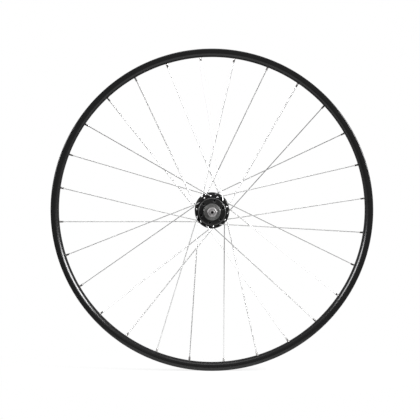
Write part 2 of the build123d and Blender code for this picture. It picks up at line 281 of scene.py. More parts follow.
FINISHES: dict[str, Finish] = {
    "rim_black": Finish(
        "rim_black_anodised", (0.039, 0.039, 0.0395), 0.75, 0.18, Grain.SPECKLE, 0.35, 0.001,
        specular=0.3, edge_tint=0.15
    ),
    # The hub's marked edges get a painted highlight.
    "hub_black": Finish(
        "hub_black_anodised", (0.05, 0.05, 0.05), 0.75, 0.26, Grain.TURNED, 0.3, 0.002,
        specular=0.3, edge_tint=0.15, glint_tone=0.13
    ),
    "spoke_steel": Finish(
        "spoke_drawn_steel", (0.84, 0.84, 0.84), 1.0, 0.23, Grain.DRAWN, 0.3, 0.002
    ),
    "nipple_silver": Finish(
        "nipple_nickel", (0.5, 0.49, 0.48), 1.0, 0.2, Grain.SPECKLE, 0.4, 0.004
    ),
    # The axle's bore gets painted shade.
    "axle_steel": Finish(
        "axle_turned_steel", (0.29, 0.28, 0.28), 1.0, 0.6, Grain.TURNED, 0.2, 0.006, bore_r=2.75
    ),
    "nut_steel": Finish(
        "nut_bright_plate", (0.54, 0.525, 0.525), 1.0, 0.52, Grain.TURNED, 0.25, 0.006
    ),
    "cap_grey": Finish(
        "cap_grey_plate", (0.33, 0.33, 0.325), 0.9, 0.38, Grain.TURNED, 0.3, 0.01, mottle=0.2
    ),
    "bearing_steel": Finish(
        "bearing_ground_steel", (0.58, 0.58, 0.59), 1.0, 0.18, Grain.TURNED, 0.15, 0.003
    ),
    "freehub_steel": Finish(
        "freehub_plated_steel", (0.33, 0.33, 0.34), 1.0, 0.34, Grain.SPECKLE, 0.4, 0.008
    ),
    "seal_black": Finish(
        "seal_black_rubber", (0.02, 0.02, 0.02), 0.0, 0.6, Grain.SPECKLE, 0.5, 0.015, specular=0.3
    ),
}


# Shapes

class Corner(NamedTuple):
    """A corner of a turned outline.

    Attributes:
        r: radius.
        y: place along the axle.
        round: how far its rounding reaches along both sides.
        painted_glint: how far from the corner the faces are marked for a painted highlight.
    """

    r: float
    y: float
    round: float = 0.0
    painted_glint: float = 0.0

    def mirrored(self) -> "Corner":
        """The same corner towards the other end of the axle."""
        return self._replace(y=-self.y)


def polar(r: float, angle: float, y: float = 0.0) -> Vector:
    """The point at a radius and angle round the axle, y along it."""
    return Vector((r * cos(radians(angle)), y, r * sin(radians(angle))))


def pointing(origin: Vector, along: Vector) -> Matrix:
    """The place at origin whose own Y axis points along."""
    return Matrix.Translation(origin) @ along.to_track_quat("Y", "Z").to_matrix().to_4x4()


def turned_by(angle: float) -> Matrix:
    """The turn about the axle by an angle counted from +X towards +Z."""
    return Matrix.Rotation(-radians(angle), 4, AXLE)


def around(count: int) -> list[float]:
    """Evenly spaced angles, the first of them 0."""
    return [number * 360 / count for number in range(count)]


def plain_mesh(shape: BMesh, name: str) -> bpy.types.Mesh:
    """Turn a shape into a mesh.

    Args:
        shape: what is turned. It is used up.
        name: the mesh's name.

    Returns:
        The mesh.
    """
    mesh = bpy.data.meshes.new(name)
    shape.to_mesh(mesh)
    shape.free()
    return mesh


def put(name: str, data: bpy.types.ID) -> bpy.types.Object:
    """Put a mesh, lamp or camera in the scene.

    Args:
        name: the name of its object.
        data: the mesh, lamp or camera.

    Returns:
        Its object.
    """
    thing = bpy.data.objects.new(name, data)
    bpy.context.scene.collection.objects.link(thing)
    return thing


def close_up(shape: BMesh) -> BMesh:
    """Merge what meets and turn every face outwards.

    Args:
        shape: what is closed.

    Returns:
        The same shape.
    """
    bmesh.ops.remove_doubles(shape, verts=shape.verts, dist=MERGE_GAP)
    bmesh.ops.recalc_face_normals(shape, faces=shape.faces)
    return shape


def fill_open_ends(shape: BMesh) -> None:
    """Close every open loop with a face."""
    rims = [edge for edge in shape.edges if edge.is_boundary]
    bmesh.ops.holes_fill(shape, edges=rims, sides=0)


def mark_glints(shape: BMesh, outline: Sequence[Corner]) -> None:
    """Mark the faces near chosen corners of a turned shape, for its finish to paint a highlight on
    them.

    Args:
        shape: the turned shape.
        outline: the corners it was turned from.
    """
    # These marks tell the finish where to paint a highlight.
    painted_glint = shape.faces.layers.float.new(GLINT_ATTRIBUTE)
    corners = [corner for corner in outline if corner.painted_glint]
    for face in shape.faces if corners else ():
        middle = face.calc_center_median()
        r = hypot(middle.x, middle.z)
        near = any(hypot(r - corner.r, middle.y - corner.y) < corner.painted_glint for corner in corners)
        face[painted_glint] = float(near)


def lathe(outline: Sequence[Corner], steps: int) -> BMesh:
    """Turn a closed outline about the axle.

    Args:
        outline: its corners in order. A corner on the axle has no rounding.
        steps: how many flats go round the axle.

    Returns:
        The closed shape.
    """
    shape = bmesh.new()
    points = [shape.verts.new((corner.r, corner.y, 0.0)) for corner in outline]
    for start, end in zip(points, points[1:] + points[:1]):
        shape.edges.new((start, end))
    for point, corner in zip(points, outline):
        if corner.round:
            bmesh.ops.bevel(
                shape, geom=[point], offset=corner.round, offset_type="OFFSET", segments=ROUND_STEPS,
                profile=0.5, affect="VERTICES", material=-1,
            )
    bmesh.ops.spin(
        shape, geom=shape.verts[:] + shape.edges[:], cent=(0, 0, 0), axis=AXLE, dvec=(0, 0, 0),
        angle=FULL_TURN, steps=steps, use_merge=True, use_duplicate=False,
    )
    close_up(shape)
    mark_glints(shape, outline)
    return shape


def ring(bore: float, outside: float, start: float, end: float, edge: float) -> list[Corner]:
    """The outline of a plain ring, by its two radii, its two ends and its edge rounding."""
    return [
        Corner(bore, start, edge),
        Corner(outside, start, edge),
        Corner(outside, end, edge),
        Corner(bore, end, edge),
    ]


def bit(radius: float, start: float, end: float, steps: int) -> BMesh:
    """A plain drill bit along Y, by its radius, its two ends and the flats that go round it."""
    outline = [Corner(0, start), Corner(radius, start), Corner(radius, end), Corner(0, end)]
    return lathe(outline, steps)


def block(width: float, length: float, height: float) -> BMesh:
    """A block about the origin.

    Args:
        width: along X.
        length: along Y.
        height: along Z.

    Returns:
        The block.
    """
    shape = bmesh.new()
    bmesh.ops.create_cube(shape, size=1.0)
    bmesh.ops.scale(shape, verts=shape.verts, vec=(width, length, height))
    return shape


def ease(shape: BMesh, edges: list[BMEdge], width: float, steps: int) -> None:
    """Round some edges of a shape.

    Args:
        shape: what is rounded.
        edges: which of its edges.
        width: how far the rounding reaches on both sides.
        steps: facets of the rounding.
    """
    bmesh.ops.bevel(
        shape, geom=edges, offset=width, offset_type="OFFSET", segments=steps, profile=0.5,
        affect="EDGES", material=-1,
    )


def stamp(shape: BMesh, places: Iterable[Matrix]) -> BMesh:
    """Copy a shape to many places.

    Args:
        shape: what is copied. It is used up.
        places: where each copy goes.

    Returns:
        All the copies in one mesh.
    """
    mesh = plain_mesh(shape, "stamp")
    copies = bmesh.new()
    for place in places:
        first = len(copies.verts)
        copies.from_mesh(mesh)
        copies.verts.ensure_lookup_table()
        bmesh.ops.transform(copies, matrix=place, verts=copies.verts[first:])
    bpy.data.meshes.remove(mesh)
    return copies


def join(*shapes: BMesh) -> BMesh:
    """Put several shapes in one mesh.

    Args:
        shapes: what is joined. They are used up.

    Returns:
        The one mesh.
    """
    whole = bmesh.new()
    for shape in shapes:
        mesh = plain_mesh(shape, "join")
        whole.from_mesh(mesh)
        bpy.data.meshes.remove(mesh)
    return whole


def carve(shape: BMesh, tool: BMesh) -> BMesh:
    """Cut one shape out of another.

    Args:
        shape: what is cut. It is used up.
        tool: what is taken away, as one or more closed shapes. It is used up.

    Returns:
        What is left.
    """
    carved = put("carved", plain_mesh(shape, "carved"))
    cutter = put("tool", plain_mesh(tool, "tool"))
    saw = carved.modifiers.new("saw", "BOOLEAN")
    saw.operation = "DIFFERENCE"
    saw.solver = "EXACT"
    saw.object = cutter
    depsgraph = bpy.context.evaluated_depsgraph_get()
    left = bmesh.new()
    left.from_mesh(carved.evaluated_get(depsgraph).to_mesh())
    for thing in (carved, cutter):
        mesh = thing.data
        bpy.data.objects.remove(thing)
        bpy.data.meshes.remove(mesh)
    return left


class Wire:
    """A round wire made from its first ring: straight runs are extruded and bends are spun."""

    bend_steps = 6

    def __init__(self, start: Vector, along: Vector, radius: float, sides: int) -> None:
        """Set the first ring.

        Args:
            start: where the wire begins.
            along: which way it sets off.
            radius: the wire's radius.
            sides: how many flats go round it.
        """
        self.shape = bmesh.new()
        self.at = start.copy()
        self.along = along.normalized()
        place = Matrix.Translation(start) @ along.to_track_quat("Z", "Y").to_matrix().to_4x4()
        bmesh.ops.create_circle(
            self.shape, cap_ends=False, segments=sides, radius=radius, matrix=place
        )
        self.edges = self.shape.edges[:]

    def run(self, length: float) -> None:
        """Go straight on.

        Args:
            length: how far.
        """
        grown = bmesh.ops.extrude_edge_only(self.shape, edges=self.edges)["geom"]
        verts = {item for item in grown if isinstance(item, BMVert)}
        self.edges = [
            item for item in grown if isinstance(item, BMEdge) and verts.issuperset(item.verts)
        ]
        bmesh.ops.translate(self.shape, verts=list(verts), vec=self.along * length)
        self.at += self.along * length

    def bend(self, towards: Vector, radius: float) -> None:
        """Bend round to a new direction.

        Args:
            towards: the new direction.
            radius: radius of the bend at the wire's middle.
        """
        axis = self.along.cross(towards).normalized()
        turn = self.along.angle(towards)
        centre = self.at + axis.cross(self.along) * radius
        spun = bmesh.ops.spin(
            self.shape, geom=self.edges, cent=centre, axis=axis, dvec=(0, 0, 0), angle=turn,
            steps=self.bend_steps, use_merge=False, use_duplicate=False,
        )
        self.edges = [item for item in spun["geom_last"] if isinstance(item, BMEdge)]
        self.at = centre + Matrix.Rotation(turn, 3, axis) @ (self.at - centre)
        self.along = towards.normalized()

    def follow(self, corners: Sequence[tuple[Vector, float]], end: Vector) -> None:
        """Go on round some corners to the end, and close both ends.

        Args:
            corners: each corner's point and bend radius.
            end: where the wire ends.
        """
        targets = [point for point, _ in corners[1:]] + [end]
        for (point, radius), target in zip(corners, targets):
            onward = (target - point).normalized()
            reach = radius * tan(self.along.angle(onward) / 2)
            self.run((point - self.at).length - reach)
            self.bend(onward, radius)
        self.run((end - self.at).length)
        fill_open_ends(self.shape)
        close_up(self.shape)


# Sub-assemblies

class Made(NamedTuple):
    """A finished mesh, the name of its piece and the CAD node that it stands for."""

    piece: str
    shape: BMesh
    node: str


class SubAssembly(ABC):
    """A group of pieces of the wheel, built as meshes and then dressed."""

    @abstractmethod
    def build(self) -> Iterator[Made]:
        """Build the group.

        Returns:
            Its meshes, one after another.
        """

    def dress(self) -> Iterator[bpy.types.Object]:
        """Make each mesh a piece in its node's finish, on its node's body.

        Returns:
            The pieces, one after another.
        """
        for made in self.build():
            bmesh.ops.transform(made.shape, matrix=Matrix.Scale(MM, 4), verts=made.shape.verts)
            mesh = plain_mesh(made.shape, made.piece)
            mesh.shade_smooth()
            mesh.set_sharp_from_angle(angle=SHARP_ANGLE)
            piece = put(made.piece, mesh)
            normals = piece.modifiers.new("normals", "WEIGHTED_NORMAL")
            normals.keep_sharp = True
            mesh.materials.append(FINISHES[slot_of[made.node]].material())
            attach(piece, body_of[made.node])
            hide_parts(made.node)
            yield piece


@dataclass(frozen=True)
class Lacing:
    """How the spokes run from the hub's flanges to the rim, as in the part's source."""

    count: int = 28
    crossings: int = 2
    first_hole_angle: float = -8.47
    rim_stagger: float = 1.5
    bed_r: float = 301.0
    hub_r: float = 29.5
    hole_edge: float = 4.4
    disc_flange_y: float = -36.0
    drive_flange_y: float = 18.5
    flange_t: float = 3.2
    wire_r: float = 1.0
    wire_sides: int = 8
    cross_gap: float = 0.2
    flange_gap: float = 0.15
    seat_gap: float = 0.05
    lift_rounds: int = 4

    @property
    def wire_room(self) -> float:
        """Radius over the corners of the many-sided CAD wire."""
        return self.wire_r / cos(pi / self.wire_sides)

    @property
    def pitch(self) -> float:
        """Angle from one spoke of a side to the next."""
        return 2 * 360 / self.count

    @property
    def turn(self) -> float:
        """Angle at the axle between a spoke's two ends, in radians."""
        return radians(self.crossings * self.pitch)

    @property
    def inner_lift(self) -> float:
        """Height over the flange at which a spoke leaves it."""
        return self.wire_room + self.flange_gap

    @property
    def cross_lift(self) -> float:
        """Distance between two wires that cross."""
        return 2 * self.wire_room + self.cross_gap

    @property
    def cross_share(self) -> float:
        """Share of a spoke's length at which it meets its partner."""
        half = radians(self.pitch / 2)
        hub_part = self.hub_r * sin(self.turn - half)
        return hub_part / (hub_part + self.bed_r * sin(half))

    @property
    def plan_length(self) -> float:
        """Length of a spoke seen along the axle."""
        return hypot(self.bed_r * cos(self.turn) - self.hub_r, self.bed_r * sin(self.turn))

    def side(self, index: int) -> int:
        """Which end of the axle a spoke's flange is at."""
        return -1 if index % 2 == 0 else 1

    def lead(self, index: int) -> int:
        """Which way round the axle a spoke's hub end lies from its rim end."""
        return 1 if index % 4 in (1, 2) else -1

    def rim_angle(self, index: int) -> float:
        """Angle of a spoke's rim hole."""
        return self.first_hole_angle - index * 360 / self.count

    def flange(self, index: int) -> float:
        """Distance of a spoke's flange from the rim plane."""
        return abs(self.disc_flange_y if self.side(index) < 0 else self.drive_flange_y)

    def middle(self, index: int, outer_lift: float) -> float:
        """Distance from the rim plane of the middle between two crossing spokes."""
        at_hub = self.flange(index) + (outer_lift - self.inner_lift) / 2
        return at_hub * (1 - self.cross_share) + self.rim_stagger * self.cross_share

    def outer_lift(self, index: int) -> float:
        """Height over the flange at which an outer spoke clears the flange's edge.

        Args:
            index: the spoke's number, from 0.

        Returns:
            The height, which settles in a few rounds.
        """
        climb = (self.bed_r * cos(self.turn) - self.hub_r) / self.plan_length
        reach = self.hole_edge / climb
        lift = self.inner_lift
        for _ in range(self.lift_rounds):
            top = self.flange(index) + self.flange_t / 2 + lift
            fall = top - self.middle(index, lift) + self.cross_lift / 2
            lift = self.inner_lift + fall / (self.plan_length * self.cross_share) * reach
        return lift

    def points(self, index: int) -> tuple[Vector, Vector, Vector, Vector]:
        """A spoke's course.

        Args:
            index: the spoke's number, from 0.

        Returns:
            The seat of its head, its elbow, its crossing and its rim hole.
        """
        side = self.side(index)
        out = -self.lead(index)
        outer_lift = self.outer_lift(index)
        lift = outer_lift if out > 0 else self.inner_lift
        seat = self.flange(index) - out * (self.flange_t / 2 + self.seat_gap)
        leave = self.flange(index) + out * (self.flange_t / 2 + lift)
        cross = self.middle(index, outer_lift) - out * self.cross_lift / 2
        hub_angle = self.rim_angle(index) - out * self.crossings * self.pitch
        hub = polar(self.hub_r, hub_angle)
        rim = polar(self.bed_r, self.rim_angle(index))
        return (
            hub + AXLE * side * seat,
            hub + AXLE * side * leave,
            hub.lerp(rim, self.cross_share) + AXLE * side * cross,
            rim + AXLE * side * self.rim_stagger,
        )

    def at_rim(self, index: int, along: float) -> Matrix:
        """A place on a spoke's line.

        Args:
            index: the spoke's number, from 0.
            along: distance outwards past the spoke bed's face.

        Returns:
            The place, with its own Y axis along the spoke.
        """
        *_, crossing, rim = self.points(index)
        course = (rim - crossing).normalized()
        return pointing(rim + course * along, course)

    def all_at_rim(self, along: float) -> list[Matrix]:
        """The same place on every spoke."""
        return [self.at_rim(index, along) for index in range(self.count)]


@dataclass(frozen=True)
class Rim(SubAssembly):
    """The double-wall hoop: rounded section, hollow chamber, spoke holes and valve hole."""

    lacing: Lacing
    outer_r: float
    steps: int = 336
    width: float = 24.0
    seat_r: float = 311.0
    lip_t: float = 1.7
    hook_lean: float = 0.8
    well_r: float = 308.4
    well_half: float = 4.2
    well_slope: float = 2.6
    shoulder_r: float = 310.1
    flank_r: float = 303.85
    flank_half: float = 10.2
    bed_half: float = 5.0
    chamber_base_r: float = 302.8
    chamber_top_r: float = 307.1
    chamber_half: float = 9.6
    hole_r: float = 2.1
    access_r: float = 4.2
    valve_r: float = 4.25
    valve_gap: float = 6.5
    hole_steps: int = 20
    bed_round: float = 0.7
    flank_round: float = 5.1
    shoulder_round: float = 1.3
    lip_round: float = 1.9
    hook_round: float = 0.5
    well_round: float = 0.8
    chamber_round: float = 0.5

    def section(self) -> list[Corner]:
        """The rim's section.

        Returns:
            The corners of one half and of the other.
        """
        half = self.width / 2
        seat_half = half - self.lip_t
        side = [
            Corner(self.lacing.bed_r, self.bed_half, self.bed_round),
            Corner(self.flank_r, self.flank_half, self.flank_round),
            Corner(self.shoulder_r, half, self.shoulder_round),
            Corner(self.outer_r, half, self.lip_round),
            Corner(self.outer_r, seat_half - self.hook_lean, self.hook_round),
            Corner(self.seat_r, seat_half, self.hook_round),
            Corner(self.seat_r, self.well_half + self.well_slope, self.well_round),
            Corner(self.well_r, self.well_half, self.well_round),
        ]
        return side + [corner.mirrored() for corner in reversed(side)]

    def chamber(self) -> list[Corner]:
        """The hollow between the spoke bed and the tyre well.

        Returns:
            The corners of its section.
        """
        ends = (
            (self.chamber_base_r, -self.bed_half),
            (self.chamber_base_r, self.bed_half),
            (self.chamber_top_r, self.chamber_half),
            (self.chamber_top_r, -self.chamber_half),
        )
        return [Corner(r, y, self.chamber_round) for r, y in ends]

    def build(self) -> Iterator[Made]:
        """Turn the section, hollow it and drill it.

        Returns:
            The hoop.
        """
        lacing = self.lacing
        places = lacing.all_at_rim(0.0)
        into_chamber = (self.chamber_base_r + self.chamber_top_r) / 2 - lacing.bed_r
        past_seat = self.outer_r - lacing.bed_r
        hoop = carve(lathe(self.section(), self.steps), lathe(self.chamber(), self.steps))
        spoke_holes = stamp(bit(self.hole_r, -OVERRUN, into_chamber, self.hole_steps), places)
        access = stamp(bit(self.access_r, into_chamber, past_seat, self.hole_steps), places)
        valve_angle = lacing.rim_angle(0) - self.valve_gap * 360 / lacing.count
        valve_place = pointing(polar(lacing.bed_r, valve_angle), polar(1.0, valve_angle))
        valve = stamp(bit(self.valve_r, -OVERRUN, past_seat, self.hole_steps), [valve_place])
        hoop = carve(carve(hoop, join(spoke_holes, valve)), access)
        yield Made("rim_hoop", hoop, "rim")


@dataclass(frozen=True)
class Spokes(SubAssembly):
    """The wire spokes: button head, elbow over the flange and a slight kink at the crossing."""

    lacing: Lacing
    sides: int = 12
    elbow_r: float = 1.9
    kink_r: float = 60.0
    end_past_bed: float = 2.3
    head_r: float = 1.95
    head_h: float = 1.3
    head_steps: int = 16
    seat_round: float = 0.2
    brim_h: float = 0.585
    brim_round: float = 0.35
    crown_r: float = 1.17
    crown_round: float = 0.5

    def head(self, seat: Vector, along: Vector) -> BMesh:
        """The button head.

        Args:
            seat: where it lies on the flange.
            along: which way the wire sets off from it.

        Returns:
            The head.
        """
        outline = [
            Corner(0, 0),
            Corner(self.head_r, 0, self.seat_round),
            Corner(self.head_r, -self.brim_h, self.brim_round),
            Corner(self.crown_r, -self.head_h, self.crown_round),
            Corner(0, -self.head_h),
        ]
        return stamp(lathe(outline, self.head_steps), [pointing(seat, along)])

    def build(self) -> Iterator[Made]:
        """Bend each spoke and set its head.

        Returns:
            The spokes, one after another.
        """
        for index in range(self.lacing.count):
            seat, elbow, crossing, _ = self.lacing.points(index)
            end = self.lacing.at_rim(index, self.end_past_bed).translation
            wire = Wire(seat, elbow - seat, self.lacing.wire_r, self.sides)
            wire.follow([(elbow, self.elbow_r), (crossing, self.kink_r)], end)
            number = f"{index + 1:02d}"
            shape = join(wire.shape, self.head(seat, elbow - seat))
            yield Made(f"spoke_wire_{number}", shape, f"spoke_{number}")


@dataclass(frozen=True)
class Nipples(SubAssembly):
    """The nipples: square shank for the key, round neck in the rim hole and slotted head."""

    lacing: Lacing
    foot_past_bed: float = -7.7
    length: float = 12.0
    bore_r: float = 1.03
    body_r: float = 2.0
    square: float = 3.3
    shank_length: float = 5.6
    cone_start: float = 9.8
    head_start: float = 10.8
    head_r: float = 2.6
    slot_w: float = 1.0
    slot_depth: float = 0.9
    foot_r: float = 1.44
    foot_h: float = 0.9
    foot_round: float = 0.15
    crown_r: float = 1.95
    crown_h: float = 0.4
    brim_round: float = 0.2
    edge: float = 0.3
    steps: int = 24

    def flats(self, turn: float) -> BMesh:
        """Two facing blocks that leave the keyed end its width between them.

        Args:
            turn: angle at which the first block lies.

        Returns:
            Both blocks.
        """
        cutter = block(self.body_r, 2 * self.shank_length, 3 * self.body_r)
        aside = Matrix.Translation(((self.square + self.body_r) / 2, 0, 0))
        return stamp(cutter, [turned_by(turn + side) @ aside for side in around(2)])

    def slot(self) -> BMesh:
        """The block that cuts the screwdriver slot.

        Returns:
            The block, across the head.
        """
        cutter = block(3 * self.head_r, 2 * self.slot_depth, self.slot_w)
        bmesh.ops.translate(cutter, verts=cutter.verts, vec=AXLE * self.length)
        return cutter

    def nipple(self) -> BMesh:
        """One nipple, turned, then flattened on four sides and slotted.

        Returns:
            The nipple, along Y from its foot.
        """
        outline = [
            Corner(self.bore_r, 0),
            Corner(self.foot_r, 0, self.foot_round),
            Corner(self.body_r, self.foot_h, self.edge),
            Corner(self.body_r, self.cone_start, self.edge),
            Corner(self.head_r, self.head_start, self.brim_round),
            Corner(self.head_r, self.length - self.crown_h, self.edge),
            Corner(self.crown_r, self.length, self.edge),
            Corner(self.bore_r, self.length),
        ]
        nipple = carve(lathe(outline, self.steps), self.flats(0))
        return carve(nipple, join(self.flats(90), self.slot()))

    def build(self) -> Iterator[Made]:
        """Make one nipple and set it on every spoke."""
        places = self.lacing.all_at_rim(self.foot_past_bed)
        yield Made("nipple_set", stamp(self.nipple(), places), "nipples")


@dataclass(frozen=True)
class HubShell(SubAssembly):
    """The hub's body: disc seat with six screw holes, two drilled flanges and the ratchet boss."""

    lacing: Lacing
    steps: int = 192
    end_y: float = -56.8
    disc_seat_y: float = -52.2
    seat_back_y: float = -43.7
    neck_y: float = -40.65
    boss_end_y: float = 25.5
    ratchet_y: float = 17.5
    right_bearing_y: float = 8.5
    left_bearing_end_y: float = -46.0
    cap_y: float = -54.4
    cap_seat_r: float = 16.52
    pilot_r: float = 17.475
    disc_seat_r: float = 27.0
    neck_r: float = 20.0
    flange_r: float = 33.9
    barrel_r: float = 15.5
    barrel_slope: float = 6.0
    boss_r: float = 21.5
    ratchet_r: float = 18.02
    bearing_r: float = 13.02
    bore_r: float = 9.0
    spoke_hole_r: float = 1.3
    spoke_hole_sink: float = 0.45
    spoke_hole_round: float = 0.2
    screw_circle_r: float = 22.0
    screw_count: int = 6
    screw_angle: float = 18.0
    screw_r: float = 2.5
    screw_depth: float = 7.0
    screw_sink: float = 0.6
    screw_tip: float = 1.25
    fine_edge: float = 0.15
    edge: float = 0.3
    outer_edge: float = 0.5
    flange_round: float = 0.7
    neck_round: float = 0.8
    seat_round: float = 1.2
    blend: float = 2.2
    hole_steps: int = 24

    def outline(self) -> list[Corner]:
        """The turned outline.

        Returns:
            The outside's corners from the disc end, then the bores' back again.
        """
        lacing = self.lacing
        half = lacing.flange_t / 2
        disc_out = lacing.disc_flange_y - half
        disc_in = lacing.disc_flange_y + half
        drive_in = lacing.drive_flange_y - half
        drive_out = lacing.drive_flange_y + half
        return [
            Corner(self.cap_seat_r, self.end_y, self.fine_edge),
            Corner(self.pilot_r, self.end_y, self.edge),
            Corner(self.pilot_r, self.disc_seat_y, self.edge),
            # The disc seat's edge is marked for a painted highlight.
            Corner(self.disc_seat_r, self.disc_seat_y, self.seat_round, painted_glint=self.seat_round),
            Corner(self.disc_seat_r, self.seat_back_y, self.outer_edge),
            Corner(self.neck_r, self.neck_y, self.neck_round),
            Corner(self.neck_r, disc_out, self.neck_round),
            Corner(self.flange_r, disc_out, self.flange_round),
            Corner(self.flange_r, disc_in, self.flange_round),
            Corner(self.neck_r, disc_in, self.blend),
            Corner(self.barrel_r, disc_in + self.barrel_slope, self.blend),
            Corner(self.barrel_r, drive_in - self.barrel_slope, self.blend),
            Corner(self.boss_r, drive_in, self.blend),
            Corner(self.flange_r, drive_in, self.flange_round),
            Corner(self.flange_r, drive_out, self.flange_round),
            Corner(self.boss_r, drive_out, self.neck_round),
            Corner(self.boss_r, self.boss_end_y, self.outer_edge),
            Corner(self.ratchet_r, self.boss_end_y, self.edge),
            Corner(self.ratchet_r, self.ratchet_y),
            Corner(self.bearing_r, self.ratchet_y),
            Corner(self.bearing_r, self.right_bearing_y),
            Corner(self.bore_r, self.right_bearing_y),
            Corner(self.bore_r, self.left_bearing_end_y),
            Corner(self.bearing_r, self.left_bearing_end_y),
            Corner(self.bearing_r, self.cap_y),
            Corner(self.cap_seat_r, self.cap_y),
        ]

    def spoke_bits(self) -> BMesh:
        """Bits for the spoke holes of both flanges, sunk at both faces.

        Returns:
            All the bits.
        """
        lacing = self.lacing
        half = lacing.flange_t / 2
        wide = self.spoke_hole_r + self.spoke_hole_sink
        side = [
            Corner(0, 2 * half),
            Corner(wide, 2 * half),
            Corner(wide, half),
            Corner(self.spoke_hole_r, half - self.spoke_hole_sink, self.spoke_hole_round),
        ]
        outline = [corner.mirrored() for corner in side] + side[::-1]
        places = []
        for index in range(lacing.count):
            y = lacing.side(index) * lacing.flange(index)
            places.append(Matrix.Translation(polar(lacing.hub_r, lacing.rim_angle(index), y)))
        return stamp(lathe(outline, self.hole_steps), places)

    def screw_bits(self) -> BMesh:
        """Bits for the blind screw holes in the disc seat.

        Returns:
            All the bits.
        """
        wide = self.screw_r + self.screw_sink
        outline = [
            Corner(0, -OVERRUN),
            Corner(wide, -OVERRUN),
            # The countersink's edge is marked for a painted highlight.
            Corner(wide, 0, painted_glint=self.screw_sink),
            Corner(self.screw_r, self.screw_sink),
            Corner(self.screw_r, self.screw_depth),
            Corner(0, self.screw_depth + self.screw_tip),
        ]
        places = []
        for angle in around(self.screw_count):
            hole = polar(self.screw_circle_r, self.screw_angle + angle, self.disc_seat_y)
            places.append(Matrix.Translation(hole))
        return stamp(lathe(outline, self.hole_steps), places)

    def build(self) -> Iterator[Made]:
        """Turn the shell and drill it."""
        shell = lathe(self.outline(), self.steps)
        yield Made("hub_body", carve(shell, join(self.spoke_bits(), self.screw_bits())), "hub_shell")


